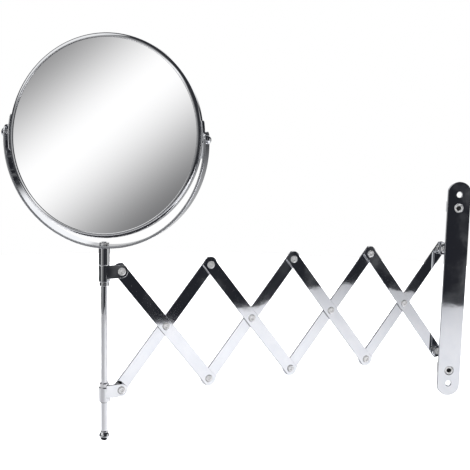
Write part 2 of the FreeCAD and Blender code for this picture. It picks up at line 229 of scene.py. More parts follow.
def chrome(name, tint, gloss, wave, marks, metal=1.0, bore=False):
    """tint: plate colour; gloss: base roughness; wave: bump of the strip; marks: rubbed haze;
    metal: how far it mirrors; bore: painted shade, the colour darkens away from the wall side as
    shade does inside a hollow rivet."""
    material, sheet, where = new_material(name)
    smudge = sheet.band(sheet.noise(where, 22.0, 4.0, 0.55), 0.48, 0.72)
    rub_at = sheet.node("ShaderNodeMapping", Vector=where, Scale=(60.0, 60.0, 900.0))
    rub = sheet.band(sheet.noise(rub_at, 6.0, 2.0, 0.6), 0.60, 0.74)
    speck = sheet.band(sheet.noise(where, 650.0, 2.0, 0.5), 0.70, 0.80)
    rough = gloss + marks * 0.6 * smudge + marks * rub + marks * 0.8 * speck
    dull = sheet.band(sheet.noise(where, 60.0, 3.0, 0.6), 0.30, 0.75)
    colour = sheet.blend(dull, opaque(tint), opaque(tint, DULLED))
    # Painted shade: inside a bore the colour falls to near black with depth, in place of the
    # shade that fills the hollow rivet.
    if bore:
        depth = sheet.node("ShaderNodeSeparateXYZ", None, 1, Vector=where)
        colour = sheet.blend(sheet.band(depth, *BORE_SHADE_DEPTHS), colour, grey(0.03))
    swell = sheet.noise(where, 38.0, 1.0, 0.4) + 0.25 * sheet.noise(where, 160.0, 1.0, 0.4)
    bump = sheet.node("ShaderNodeBump", Strength=1.0, Distance=wave, Height=swell)
    sheet.show(sheet.node("ShaderNodeBsdfPrincipled", Base_Color=colour,
                          Metallic=metal, Roughness=rough, Normal=bump))
    return material


strip_chrome = chrome("strip_chrome", (0.83, 0.84, 0.86), 0.03, 0.00003, 0.035)
bright_chrome = chrome("bright_chrome", (0.86, 0.865, 0.875), 0.03, 0.000008, 0.02)
rivet_nickel = chrome("rivet_nickel", (0.90, 0.895, 0.885), 0.20, 0.00002, 0.05, 0.72)
eyelet_nickel_bore_shade = chrome("eyelet_nickel_bore_shade", (0.90, 0.895, 0.885), 0.25, 0.00002, 0.05, 0.6, True)
collar_chrome = chrome("collar_chrome", (0.88, 0.88, 0.885), 0.13, 0.00002, 0.06)
print("plated", [m.name for m in (strip_chrome, bright_chrome, rivet_nickel, eyelet_nickel_bore_shade,
                                  collar_chrome)])

# %% [markdown]
# ### Glass, plastic and card
# The mirrors stay cleaner than the plate. Plastic and card only need a fine grain.

# %% Materials: glass, plastic and card
def mirror_glass():
    """Silvered glass: a clean mirror, with the faint cleaning haze that any mirror carries."""
    material, sheet, where = new_material("mirror_glass")
    haze = sheet.band(sheet.noise(where, 9.0, 5.0, 0.6), 0.45, 0.80)
    dust = sheet.band(sheet.noise(where, 900.0, 1.0, 0.5), 0.74, 0.82)
    colour = sheet.blend(haze, (0.912, 0.911, 0.912, 1.0), (0.90, 0.90, 0.902, 1.0))
    sheet.show(sheet.node("ShaderNodeBsdfPrincipled", Base_Color=colour, Metallic=1.0,
                          Roughness=0.012 + 0.012 * haze + 0.10 * dust))
    return material


def moulded(name, colour, rough):
    """Moulded plastic, card or paint: a fine grain in both colour and relief."""
    material, sheet, where = new_material(name)
    grain = sheet.noise(where, 1800.0, 2.0, 0.5)
    tone = sheet.blend(grain, opaque(colour), opaque(colour, (0.85, 0.85, 0.85)))
    bump = sheet.node("ShaderNodeBump", Strength=0.4, Distance=0.00005, Height=grain)
    sheet.show(sheet.node("ShaderNodeBsdfPrincipled", Base_Color=tone,
                          Roughness=rough + 0.1 * grain, Normal=bump))
    return material


silvering = mirror_glass()
washer_plastic = moulded("washer_plastic", (0.72, 0.72, 0.70), 0.45)
backing_card = moulded("backing_card", (0.10, 0.10, 0.11), 0.7)
print("others", [m.name for m in (silvering, washer_plastic, backing_card)])

# %% [markdown]
# ## Making objects
# Curves and modifiers are only tools here: every piece ends as one plain mesh.

# %% Link an object, take out its finished mesh
def mesh_of(name, bm):
    mesh = bpy.data.meshes.new(name)
    bm.to_mesh(mesh)
    bm.free()
    return mesh


def placed(name, data):
    made = bpy.data.objects.new(name, data)
    scene.collection.objects.link(made)
    return made


def evaluated_mesh(thing):
    """Mesh of an object with its curve or modifiers worked out."""
    bpy.context.view_layer.update()
    graph = bpy.context.evaluated_depsgraph_get()
    return bpy.data.meshes.new_from_object(thing.evaluated_get(graph))


print("object helpers ready")

# %% [markdown]
# ## Turned pieces
# Rods, sleeves, rims, knobs and the ball are all turned shapes. A profile of radius and height is
# spun about an axis. Each corner of the profile is first replaced by a small arc, because real
# edges are broken and that narrow curve is what catches the light on chrome.

# %% Round a profile's corners
NEARLY_STRAIGHT = radians(165)


def soften(points, radius, steps=4):
    """Replace each inner corner of a profile by an arc of up to radius."""
    out = [Vector(points[0])]
    for before, corner, after in zip(points, points[1:], points[2:]):
        corner = Vector(corner)
        into = Vector(before) - corner
        away = Vector(after) - corner
        turn = into.angle(away, pi)
        if into.length < 1e-9 or away.length < 1e-9 or turn > NEARLY_STRAIGHT:
            out.append(corner)
            continue
        cut = min(radius / tan(turn / 2), 0.45 * into.length, 0.45 * away.length)
        start = corner + into.normalized() * cut
        end = corner + away.normalized() * cut
        for i in range(steps + 1):
            t = i / steps
            out.append(start * (1 - t) ** 2 + corner * (2 * t * (1 - t)) + end * t ** 2)
    out.append(Vector(points[-1]))
    return out


def finish_mesh(name, bm, matrix, material, sharp=None):
    """Weld, turn the faces outwards, move into place and make the object."""
    bmesh.ops.remove_doubles(bm, verts=bm.verts, dist=1e-7)
    bmesh.ops.recalc_face_normals(bm, faces=bm.faces)
    if bm.calc_volume(signed=True) < 0:
        bmesh.ops.reverse_faces(bm, faces=bm.faces)
    mesh = mesh_of(name, bm)
    mesh.transform(matrix)
    for polygon in mesh.polygons:
        polygon.use_smooth = True
    if sharp is not None:
        mesh.set_sharp_from_angle(angle=radians(sharp))
    mesh.materials.append(material)
    return placed(name, mesh)


print("corner helper ready")

# %% Spin a profile
LONG_RUN = 0.9 * MM
HOLD_AT = 0.15 * MM


def held(profile, closed):
    """Add a point near both ends of each long straight run, so that smooth shading stays on the
    rounded corners and the run itself reflects as a true straight wall."""
    points = [Vector(p) for p in profile]
    ends = points[1:] + points[:1] if closed else points[1:]
    out = []
    for a, b in zip(points, ends):
        out.append(a)
        run = (b - a).length
        if run > LONG_RUN:
            near = min(0.12 * run, HOLD_AT) / run
            out += [a.lerp(b, near), a.lerp(b, 1 - near)]
    return out if closed else out + [points[-1]]


def turned(name, profile, matrix, material, around=64, closed=False, sharp=None, hold=True):
    """Spin an (r, h) profile about its frame's Z. A closed profile is a ring's section."""
    bm = bmesh.new()
    rings = []
    if hold:
        profile = held(profile, closed)
    for r, h in profile:
        if r < 1e-7:
            rings.append([bm.verts.new((0, 0, h))])
        else:
            rings.append([bm.verts.new((r * cos(a), r * sin(a), h))
                          for a in (2 * pi * k / around for k in range(around))])
    pairs = list(zip(rings, rings[1:]))
    if closed:
        pairs.append((rings[-1], rings[0]))
    for low, high in pairs:
        for k in range(around):
            corners = [low[k % len(low)], low[(k + 1) % len(low)],
                       high[(k + 1) % len(high)], high[k % len(high)]]
            kept = []
            for vert in corners:
                if vert not in kept:
                    kept.append(vert)
            if len(kept) > 2:
                bm.faces.new(kept)
    return finish_mesh(name, bm, matrix, material, sharp)


def ring_profile(radius, bore, z0, z1, edge):
    """Section of a plain tube with broken edges, as a closed loop."""
    loop = [(bore, (z0 + z1) / 2), (bore, z0), (radius, z0), (radius, z1), (bore, z1),
            (bore, (z0 + z1) / 2)]
    return soften(loop, edge)[:-1]


def rod_profile(radius, z0, z1, edge):
    return soften([(0, z0), (radius, z0), (radius, z1), (0, z1)], edge)


TO_BACK = Matrix.Rotation(-pi / 2, 4, "X")       # the frame's Z becomes its Y
print("turning helpers ready")

# %% [markdown]
# ## Sheet pieces
# Links, lugs, blocks and the wall plate are cut from flat strip. A filled curve is the simplest
# way to make one: its outline may hold holes, its extrusion is the thickness, and its bevel is
# the rounding of the edge. It becomes a mesh before it is put in place.

# %% Cut a sheet from an outline
def arc_points(centre, radius, start, end, count):
    return [(centre[0] + radius * cos(start + (end - start) * k / count),
             centre[1] + radius * sin(start + (end - start) * k / count))
            for k in range(count + 1)]


def cut_sheet(name, outline, holes, low, high, edge, matrix, material, steps=4):
    """Sheet in the frame's XY plane from height low to high, with rounded edges."""
    curve = bpy.data.curves.new(name, "CURVE")
    curve.dimensions = "2D"
    curve.fill_mode = "BOTH"
    curve.extrude = (high - low) / 2 - edge
    curve.bevel_depth = edge
    curve.bevel_resolution = steps
    curve.offset = -edge
    for loop in [outline] + holes:
        spline = curve.splines.new("POLY")
        spline.points.add(len(loop) - 1)
        for point, (x, y) in zip(spline.points, loop):
            point.co = (x, y, 0, 1)
        spline.use_cyclic_u = True
    drawn = placed(name, curve)
    mesh = evaluated_mesh(drawn)
    bpy.data.objects.remove(drawn)
    bpy.data.curves.remove(curve)
    bm = bmesh.new()
    bm.from_mesh(mesh)
    bpy.data.meshes.remove(mesh)
    shift = Matrix.Translation((0, 0, (low + high) / 2))
    made = finish_mesh(name, bm, matrix @ shift, material)
    axis = (matrix.to_3x3() @ Vector((0, 0, 1))).normalized()
    for polygon in made.data.polygons:
        if abs(polygon.normal.dot(axis)) > 0.999:
            polygon.use_smooth = False
    return made


def circle(centre, radius, count=40):
    return arc_points(centre, radius, 0, 2 * pi * (count - 1) / count, count - 1)


# A sheet stands upright with its thickness along the frame's Y: its own X stays, its Y is up.
UPRIGHT = Matrix.Rotation(pi / 2, 4, "X")
print("sheet helper ready")

# %% [markdown]
# ## Joining and handing over
# Two meshes can become one piece. Each piece is tied to the body it moves with and stands for its
# node in the CAD model.

# %% Join pieces, hand a piece over
def joined(name, pieces):
    """One object from several, for a body that is made in more than one stroke."""
    bm = bmesh.new()
    for piece in pieces:
        bm.from_mesh(piece.data)
    material = pieces[0].data.materials[0]
    mesh = mesh_of(name, bm)
    mesh.materials.append(material)
    for piece in pieces:
        bpy.data.objects.remove(piece)
    return placed(name, mesh)


def hand_over(piece, body, node):
    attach(piece, body)
    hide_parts(node)


print("hand-over helpers ready")

# %% [markdown]
# ## Repeats made by Geometry Nodes
# The arm holds many identical rivets, washers and links. One tree makes every row: it puts a copy
# of a source piece at each vertex of a small guide mesh, turns it, and gives it its material. The
# copies are realised at the end, so each body gets one plain mesh of its own.

# %% The row tree
def row_tree():
    tree = bpy.data.node_groups.new("row_of_pieces", "GeometryNodeTree")
    for label, kind in (("Guide", "Geometry"), ("Piece", "Object"), ("Turn", "Vector"),
                        ("Finish", "Material")):
        tree.interface.new_socket(label, in_out="INPUT", socket_type="NodeSocket" + kind)
    tree.interface.new_socket("Row", in_out="OUTPUT", socket_type="NodeSocketGeometry")
    start = tree.nodes.new("NodeGroupInput")
    end = tree.nodes.new("NodeGroupOutput")
    source = tree.nodes.new("GeometryNodeObjectInfo")
    points = tree.nodes.new("GeometryNodeMeshToPoints")
    copies = tree.nodes.new("GeometryNodeInstanceOnPoints")
    real = tree.nodes.new("GeometryNodeRealizeInstances")
    paint = tree.nodes.new("GeometryNodeSetMaterial")
    link = tree.links.new
    link(start.outputs["Guide"], points.inputs["Mesh"])
    link(start.outputs["Piece"], source.inputs["Object"])
    link(points.outputs["Points"], copies.inputs["Points"])
    link(source.outputs["Geometry"], copies.inputs["Instance"])
    link(start.outputs["Turn"], copies.inputs["Rotation"])
    link(copies.outputs["Instances"], real.inputs["Geometry"])
    link(real.outputs["Geometry"], paint.inputs["Geometry"])
    link(start.outputs["Finish"], paint.inputs["Material"])
    link(paint.outputs["Geometry"], end.inputs["Row"])
    return tree


ROW = row_tree()
ROW_INPUT = {item.name: item.identifier for item in ROW.interface.items_tree
             if item.in_out == "INPUT"}


def row(name, piece, places, matrix, material, turn=(0, 0, 0)):
    """Copies of piece at places, as one plain mesh moved into its frame."""
    guide = bpy.data.meshes.new(name)
    guide.from_pydata([tuple(p) for p in places], [], [])
    host = placed(name, guide)
    modifier = host.modifiers.new("row", "NODES")
    modifier.node_group = ROW
    modifier[ROW_INPUT["Piece"]] = piece
    modifier[ROW_INPUT["Turn"]] = turn
    modifier[ROW_INPUT["Finish"]] = material
    mesh = evaluated_mesh(host)
    bpy.data.objects.remove(host)
    mesh.transform(matrix)
    return placed(name, mesh)


print("row inputs", ROW_INPUT)

# %% [markdown]
# ## The links
# A link is 132 mm between its end holes and 11.5 mm wide, cut from 1.5 mm strip, with ends that
# are slightly flatter than half circles. Front links slope down towards the wall and back links
# slope up, so one source strip serves both layers: only its turn and its depth differ.

# %% The source link, then one link for each body
LINK_HALF = 66.0 * MM
LINK_HALF_W = 5.75 * MM
LINK_T = 1.5 * MM
LINK_END_R = 7.0 * MM
LAYER = 0.3 * MM                      # half the space between the two layers
LINK_EDGE = 0.28 * MM


def link_outline():
    spread = asin(LINK_HALF_W / LINK_END_R)
    right = arc_points((LINK_HALF, 0), LINK_END_R, -spread, spread, 20)
    left = arc_points((-LINK_HALF, 0), LINK_END_R, pi - spread, pi + spread, 20)
    return right + left


link_source = cut_sheet("link_source", link_outline(), [], 0, LINK_T, LINK_EDGE,
                        UPRIGHT, strip_chrome)
LAYERS = {"front": (-LAYER, 1), "back": (LAYER + LINK_T, -1)}
LINK_PAIRS = 4
for i in range(1, LINK_PAIRS + 1):
    for layer, (depth, side) in LAYERS.items():
        piece = row(f"link_{layer}_{i}_form", link_source, [(x_mid(i), depth, z_mid)], ARM,
                    strip_chrome, (0, side * lean, 0))
        hand_over(piece, f"{layer}_link_{i}", f"link_{layer}_{i}")
bpy.data.objects.remove(link_source)
print("links", 2 * LINK_PAIRS)

# %% [markdown]
# ## Rivets and washers
# Every crossing is held by a rivet with a dished head: a raised ring around a small hollow. The
# head on the far side is the same, because the rivet is formed between two cupped tools. Lug
# rivets are the same part with a longer shank.

# %% Link rivets
HEAD_R = 3.4 * MM
HEAD_T = 1.0 * MM
HEAD_CHAMFER = 0.85 * MM
DIMPLE_R = 1.5 * MM
DIMPLE_D = 0.6 * MM
SHANK_R = 2.0 * MM
Y_FRONT = -LAYER - LINK_T
Y_BACK = LAYER + LINK_T
RUB = 0.1 * MM
SLEEVE_R = 4.6 * MM
LUG_T = 2.0 * MM


def rivet_profile(front, back):
    half = [(0, front - HEAD_T + DIMPLE_D), (DIMPLE_R * 0.55, front - HEAD_T + DIMPLE_D),
            (DIMPLE_R, front - HEAD_T), (HEAD_R - HEAD_CHAMFER, front - HEAD_T),
            (HEAD_R, front - 0.4 * HEAD_T), (HEAD_R, front), (SHANK_R, front),
            (SHANK_R, back), (HEAD_R, back), (HEAD_R, back + 0.4 * HEAD_T),
            (HEAD_R - HEAD_CHAMFER, back + HEAD_T), (DIMPLE_R, back + HEAD_T),
            (DIMPLE_R * 0.55, back + HEAD_T - DIMPLE_D), (0, back + HEAD_T - DIMPLE_D)]
    return soften(half, 0.22 * MM, 4)


def crossings(i, before, after):
    """Places of pair i's middle and of the ends it shares with its neighbours."""
    places = [(x_mid(i), 0, z_mid)]
    if i > 1:
        places.append((x_end(i - 1), 0, before))
    if i < LINK_PAIRS:
        places.append((x_end(i), 0, after))
    return places


plain_rivet = turned("rivet_source", rivet_profile(Y_FRONT, Y_BACK + RUB), TO_BACK,
                     rivet_nickel, 48)
for i in range(1, LINK_PAIRS + 1):
    rivets = row(f"link_rivets_{i}_form", plain_rivet, crossings(i, z_low, z_top), ARM,
                 rivet_nickel)
    hand_over(rivets, f"front_link_{i}", f"link_rivets_{i}")
bpy.data.objects.remove(plain_rivet)
print("rivet rows", LINK_PAIRS)

# %% Lug rivets
lug_front = turned("lug_rivet_source", rivet_profile(-SLEEVE_R - RUB, -LAYER), TO_BACK,
                   rivet_nickel, 48)
lug_back = turned("lug_rivet_long_source", rivet_profile(-SLEEVE_R - RUB, Y_BACK), TO_BACK,
                  rivet_nickel, 48)
for node, source, x, z, body in (
        ("lug_rivet_lower_wall", lug_front, x_end(0), z_low, "front_link_1"),
        ("lug_rivet_upper_mirror", lug_front, x_end(LINK_PAIRS), z_top, "front_link_4"),
        ("lug_rivet_upper_wall", lug_back, x_end(0), z_top, "back_link_1"),
        ("lug_rivet_lower_mirror", lug_back, x_end(LINK_PAIRS), z_low, "back_link_4")):
    rivet = row(node + "_form", source, [(x, 0, z)], ARM, rivet_nickel)
    hand_over(rivet, body, node)
bpy.data.objects.remove(lug_front)
bpy.data.objects.remove(lug_back)
print("lug rivets done")

# %% [markdown]
# ### Washers
# A thin plastic washer keeps the two layers of links from scraping. Where a lug stands off from
# the links, the same washer is made longer and acts as a spacer.

# %% Washers and spacers
WASHER_EDGE = 0.08 * MM


def washer_source(low, high):
    return turned("washer_source", ring_profile(HEAD_R, SHANK_R, low, high, WASHER_EDGE),
                  TO_BACK, washer_plastic, 40, True)


thin = washer_source(-LAYER + RUB, LAYER)
for i in range(1, LINK_PAIRS + 1):
    washers = row(f"link_washers_{i}_form", thin, crossings(i, z_top, z_low), ARM,
                  washer_plastic)
    hand_over(washers, f"back_link_{i}", f"link_washers_{i}")
bpy.data.objects.remove(thin)
lug_gap = -SLEEVE_R + LUG_T + RUB
for node, high, x, z, body in (
        ("lug_washer_lower_wall", Y_FRONT, x_end(0), z_low, "front_link_1"),
        ("lug_washer_upper_mirror", Y_FRONT, x_end(LINK_PAIRS), z_top, "front_link_4"),
        ("lug_spacer_upper_wall", LAYER, x_end(0), z_top, "back_link_1"),
        ("lug_spacer_lower_mirror", LAYER, x_end(LINK_PAIRS), z_low, "back_link_4")):
    source = washer_source(lug_gap, high)
    spacer = row(node + "_form", source, [(x, 0, z)], ARM, washer_plastic)
    hand_over(spacer, body, node)
    bpy.data.objects.remove(source)
print("washers and spacers done")

# %% [markdown]
# ## Sleeves and their lugs
# Each sleeve is a short tube that turns on its rod. A flat lug runs tangent to its front and
# carries the first or last pivot of the arm. The narrow ring at one end is a separate collar with
# a brighter, softer edge.

# %% Four sleeves
ROD_R = 2.75 * MM
BORE_R = 2.8 * MM
RIM_R = 4.05 * MM
RIM_L = 3.7 * MM
LUG_R = 5.6 * MM
LUG_ROOM = 0.2 * MM                   # between the lug and the rim ring
UPPER = (5.6 * MM, -8.4 * MM)         # a sleeve's top and bottom from its pivot
LOWER = (3.5 * MM, -9.6 * MM)


def sleeve(name, place, pivot_z, ends, rim_below, side, body):
    top, bottom = pivot_z + ends[0], pivot_z + ends[1]
    tube = turned("tube", ring_profile(SLEEVE_R, BORE_R, bottom, top, 0.45 * MM), place,
                  bright_chrome, 72, True)
    tip = side * reach
    turn = 0 if side > 0 else pi
    outline = arc_points((tip, pivot_z), LUG_R, turn - pi / 2, turn + pi / 2, 24)
    outline += [(side * LUG_ROOM, outline[-1][1]), (side * LUG_ROOM, outline[0][1])]
    # The lug leaves room for the rim ring where their heights meet.
    lug = cut_sheet("lug", outline, [], SLEEVE_R - LUG_T + LUG_ROOM, SLEEVE_R, 0.3 * MM,
                    place @ UPRIGHT, bright_chrome)
    both = joined(name + "_form", [tube, lug])
    hand_over(both, body, name)
    z0 = bottom - RIM_L if rim_below else top
    rim_name = name.replace("sleeve_", "sleeve_rim_")
    rim = turned(rim_name + "_form", ring_profile(RIM_R, BORE_R, z0, z0 + RIM_L, 0.5 * MM),
                 place, collar_chrome, 72, True)
    hand_over(rim, body, rim_name)


for end, place, side in (("wall", ARM, -1), ("mirror", COLLAR, 1)):
    sleeve(f"sleeve_upper_{end}", place, z_top, UPPER, True, side, f"upper_{end}_sleeve")
    sleeve(f"sleeve_lower_{end}", place, z_low, LOWER, False, side, f"lower_{end}_sleeve")
print("sleeves done")

# %% [markdown]
# ## Wall bracket
# The bracket is a flat plate with round ends. Two bosses on it hold the upright rod, each fixed
# by a hollow rivet whose flared mouth lies flush in the plate's wall side. A screw hole sits
# between each rivet and the plate's end.

# %% Wall plate
plate_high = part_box("wall_plate")[1]
PLATE_HALF = plate_high.z
PLATE_HALF_W = plate_high.x
PLATE_T = plate_high.y
PLATE_END_R = 11.6 * MM
SCREW_Z = PLATE_HALF - 12.6 * MM
BLOCK_Z = SCREW_Z - 13.1 * MM
SCREW_R = 2.7 * MM
EYE_FLARE_R = 3.6 * MM
EYE_HOLE_ROOM = 0.55 * MM


def plate_outline():
    spread = asin(PLATE_HALF_W / PLATE_END_R)
    centre = PLATE_HALF - PLATE_END_R
    top = arc_points((0, centre), PLATE_END_R, pi / 2 - spread, pi / 2 + spread, 40)
    bottom = arc_points((0, -centre), PLATE_END_R, -pi / 2 - spread,
                        -pi / 2 + spread, 40)
    return top + bottom


plate_holes = [circle((0, z), SCREW_R) for z in (-SCREW_Z, SCREW_Z)]
plate_holes += [circle((0, z), EYE_FLARE_R + EYE_HOLE_ROOM) for z in (-BLOCK_Z, BLOCK_Z)]
plate = cut_sheet("wall_plate_form", plate_outline(), plate_holes, -PLATE_T, 0, 0.55 * MM,
                  UPRIGHT, strip_chrome, 5)
hand_over(plate, "wall_bracket", "wall_plate")
print("plate half height", round(PLATE_HALF, 4))

# %% Hollow rivets
EYE_SHANK_R = 2.9 * MM
EYE_BORE_R = 2.2 * MM
EYE_DEPTH = 8 * MM
EYE_LIP = 0.5 * MM


def eyelet_profile():
    """Flared mouth, a short straight lip, then the shank inside the block."""
    middle = EYE_DEPTH / 2
    under = PLATE_T - RUB
    return soften([(EYE_BORE_R, middle), (EYE_BORE_R, 0.8 * MM), (EYE_BORE_R + 0.45 * MM, 0),
                   (EYE_FLARE_R, 0), (EYE_FLARE_R + EYE_LIP, EYE_LIP),
                   (EYE_FLARE_R + EYE_LIP, under), (EYE_SHANK_R, under),
                   (EYE_SHANK_R, EYE_DEPTH), (EYE_BORE_R, EYE_DEPTH), (EYE_BORE_R, middle)],
                  0.35 * MM, 4)[:-1]


eye_source = turned("eyelet_source", eyelet_profile(), TO_BACK, eyelet_nickel_bore_shade, 56, True)
eyes = row("bracket_rivets_form", eye_source, [(0, 0, -BLOCK_Z), (0, 0, BLOCK_Z)],
           Matrix.Identity(4), eyelet_nickel_bore_shade)
bpy.data.objects.remove(eye_source)
hand_over(eyes, "wall_bracket", "bracket_rivets")
print("hollow rivets at", round(BLOCK_Z, 4))

# %% [markdown]
# ### Rod blocks
# Each block is a short D-shaped bar between the plate and the rod. A Boolean cut bores it for
# the hollow rivet's shank.

# %% Rod blocks
block_low, block_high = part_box("rod_block_upper")
BLOCK_R = block_high.x
BLOCK_MID = block_high.y - BLOCK_R
BLOCK_HALF = (block_high.z - block_low.z) / 2
block_outline = arc_points((0, BLOCK_MID), BLOCK_R, 0, pi, 40)
block_outline += [(-BLOCK_R, PLATE_T), (BLOCK_R, PLATE_T)]
for node, z in (("rod_block_lower", -BLOCK_Z), ("rod_block_upper", BLOCK_Z)):
    block = cut_sheet(node + "_form", block_outline, [], z - BLOCK_HALF, z + BLOCK_HALF,
                      0.8 * MM, Matrix.Identity(4), bright_chrome, 5)
    drill = turned("drill", rod_profile(EYE_SHANK_R, 0, EYE_DEPTH, 0.01 * MM),
                   Matrix.Translation((0, 0, z)) @ TO_BACK, bright_chrome, 56)
    cutter = block.modifiers.new("bore", "BOOLEAN")
    cutter.operation = "DIFFERENCE"
    cutter.object = drill
    drilled = evaluated_mesh(block)
    block.modifiers.clear()
    block.data = drilled
    bpy.data.objects.remove(drill)
    hand_over(block, "wall_bracket", node)
print("blocks", round(2 * BLOCK_HALF, 4), "tall")

# %% Wall rod and stop ring
rod_low, rod_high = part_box("wall_rod")
wall_rod = turned("wall_rod_form", rod_profile(ROD_R, rod_low.z, rod_high.z, 0.7 * MM), WALL,
                  bright_chrome, 72)
hand_over(wall_rod, "wall_bracket", "wall_rod")
stop_low, stop_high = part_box("wall_rod_stop_ring")
stop = turned("stop_ring_form", ring_profile(RIM_R, ROD_R, stop_low.z, stop_high.z, 0.5 * MM),
              WALL, collar_chrome, 72, True)
hand_over(stop, "wall_bracket", "wall_rod_stop_ring")
print("wall rod", round(rod_high.z - rod_low.z, 4), "long")

# %% [markdown]
# ## Mirror rod, neck and ball
# The rod hangs below the yoke through both mirror sleeves. A thicker neck sleeve spaces the yoke
# off the upper one, and a small ball keeps the rod from pulling out.

# %% Rod, neck, ball
neck_low, neck_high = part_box("neck_sleeve")
ball_low, ball_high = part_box("ball_end")
stem_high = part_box("mirror_rod")[1]
BALL_R = 4.3 * MM
ball_z = ball_low.z + BALL_R
STUD_R = 2.0 * MM
FOOT_R = 3.0 * MM                     # the rod's foot, which sits on the ball
flat_z = ball_high.z
stem = soften([(0, ball_z), (STUD_R, ball_z), (STUD_R, flat_z), (FOOT_R, flat_z),
               (FOOT_R, flat_z + 0.6 * MM), (ROD_R, flat_z + 1.6 * MM), (ROD_R, neck_high.z),
               (STUD_R, neck_high.z), (STUD_R, stem_high.z), (0, stem_high.z)], 0.35 * MM)
rod = turned("mirror_rod_form", stem, ROD, bright_chrome, 72)
hand_over(rod, "mirror_stem", "mirror_rod")
neck = turned("neck_sleeve_form", ring_profile(SLEEVE_R, ROD_R, neck_low.z, neck_high.z,
                                               0.5 * MM), ROD, bright_chrome, 80, True)
hand_over(neck, "mirror_stem", "neck_sleeve")
flat_angle = asin((flat_z - ball_z) / BALL_R)
ball_arc = [(BALL_R * cos(a), ball_z + BALL_R * sin(a))
            for a in (-pi / 2 + (flat_angle + pi / 2) * k / 28 for k in range(29))]
ball_arc[0] = (0, ball_z - BALL_R)
ball = turned("ball_end_form", ball_arc + [(0, flat_z)], ROD, bright_chrome, 64, False, 40)
hand_over(ball, "mirror_stem", "ball_end")
print("ball centre at", round(ball_z, 4))

# %% [markdown]
# ## Yoke and saddles
# The yoke is flat strip bent into a U, so its section stays a thin rounded rectangle all along.
# It is made by walking along the bend and placing that section at each step, narrower near the
# ends to round them. The saddles are the same idea on the mirror's rim.

# %% A strip bent along a path
def bent_strip(name, path, half_width, thickness, edge, matrix, material):
    """path gives (x, z, outward x, outward z) for each station, half_width the strip's reach."""
    bm = bmesh.new()
    loops = []
    t = thickness / 2
    for (x, z, ox, oz), wide in zip(path, half_width):
        e = min(edge, wide * 0.9)
        loop = []
        for cx, cy, start in ((t - e, wide - e, 0), (-t + e, wide - e, 90),
                              (-t + e, -wide + e, 180), (t - e, -wide + e, 270)):
            corner = [(cx + e * cos(radians(start + 18 * k)),
                       cy + e * sin(radians(start + 18 * k))) for k in range(6)]
            # A point just off each end of the corner keeps the flats flat in smooth shading.
            hold = min(0.1 * MM, 0.3 * (wide - e), 0.3 * (t - e))
            s0, s1 = radians(start), radians(start + 90)
            corner.insert(0, (corner[0][0] + hold * sin(s0),
                              corner[0][1] - hold * cos(s0)))
            corner.append((corner[-1][0] - hold * sin(s1),
                           corner[-1][1] + hold * cos(s1)))
            for out, along_y in corner:
                loop.append(bm.verts.new((x + ox * out, along_y, z + oz * out)))
        loops.append(loop)
    n = len(loops[0])
    for a, b in zip(loops, loops[1:]):
        for k in range(n):
            bm.faces.new((a[k], a[(k + 1) % n], b[(k + 1) % n], b[k]))
    bm.faces.new(list(reversed(loops[0])))
    bm.faces.new(loops[-1])
    return finish_mesh(name, bm, matrix, material)


print("strip helper ready")

# %% Stations along a strip
def rounded_reach(length, wide, end_r, samples):
    """Half widths along a strip whose two ends are rounded with end_r."""
    out = []
    for s in samples:
        d = min(s, length - s)
        if d < end_r:
            out.append(wide - end_r + sqrt(max(end_r ** 2 - (end_r - d) ** 2, 1e-9)))
        else:
            out.append(wide)
    return out


def stations(length, end_r, between):
    """Stations along a strip, close together where the ends are round."""
    ends = [end_r * (1 - cos(pi / 2 * k / 14)) for k in range(15)]
    ends[0] = 0.02 * MM
    middle = [end_r + (length - 2 * end_r) * k / between for k in range(1, between)]
    return ends + middle + [length - s for s in reversed(ends)]


print("station helpers ready")

# %% Yoke
YOKE_T = 2.0 * MM
YOKE_LEG = 4.9 * MM
YOKE_TOP = 6.5 * MM
YOKE_HALF_W = 6.25 * MM
YOKE_OUT = 87.2 * MM
yoke_mid = YOKE_OUT - YOKE_T / 2
straight = YOKE_LEG + YOKE_TOP
bend = pi * yoke_mid
yoke_length = 2 * straight + bend


def yoke_point(s):
    if s < straight:
        return (-yoke_mid, z_pivot + YOKE_TOP - s, -1, 0)
    if s > straight + bend:
        return (yoke_mid, z_pivot - YOKE_LEG + (s - straight - bend), 1, 0)
    a = pi + (s - straight) / yoke_mid
    return (yoke_mid * cos(a), z_pivot - YOKE_LEG + yoke_mid * sin(a),
            cos(a), sin(a))


yoke_at = stations(yoke_length, YOKE_HALF_W, 220)
yoke = bent_strip("yoke_form", [yoke_point(s) for s in yoke_at],
                  rounded_reach(yoke_length, YOKE_HALF_W, YOKE_HALF_W, yoke_at), YOKE_T,
                  0.55 * MM, ROD, strip_chrome)
hand_over(yoke, "mirror_stem", "yoke")
print("yoke length", round(yoke_length, 3))

# %% Yoke nut
nut_low, nut_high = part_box("yoke_nut")
NUT_FLAT = 3.5 * MM                   # from the middle to a flat
NUT_R = NUT_FLAT / cos(radians(30))
hexagon = [(NUT_R * cos(a), NUT_R * sin(a))
           for a in (radians(60 * k + 30) for k in range(6))]
nut = cut_sheet("yoke_nut_form", hexagon, [], nut_low.z, nut_high.z, 0.35 * MM, ROD,
                rivet_nickel, 3)
hand_over(nut, "mirror_stem", "yoke_nut")
print("nut across flats", round(2 * NUT_FLAT, 4))

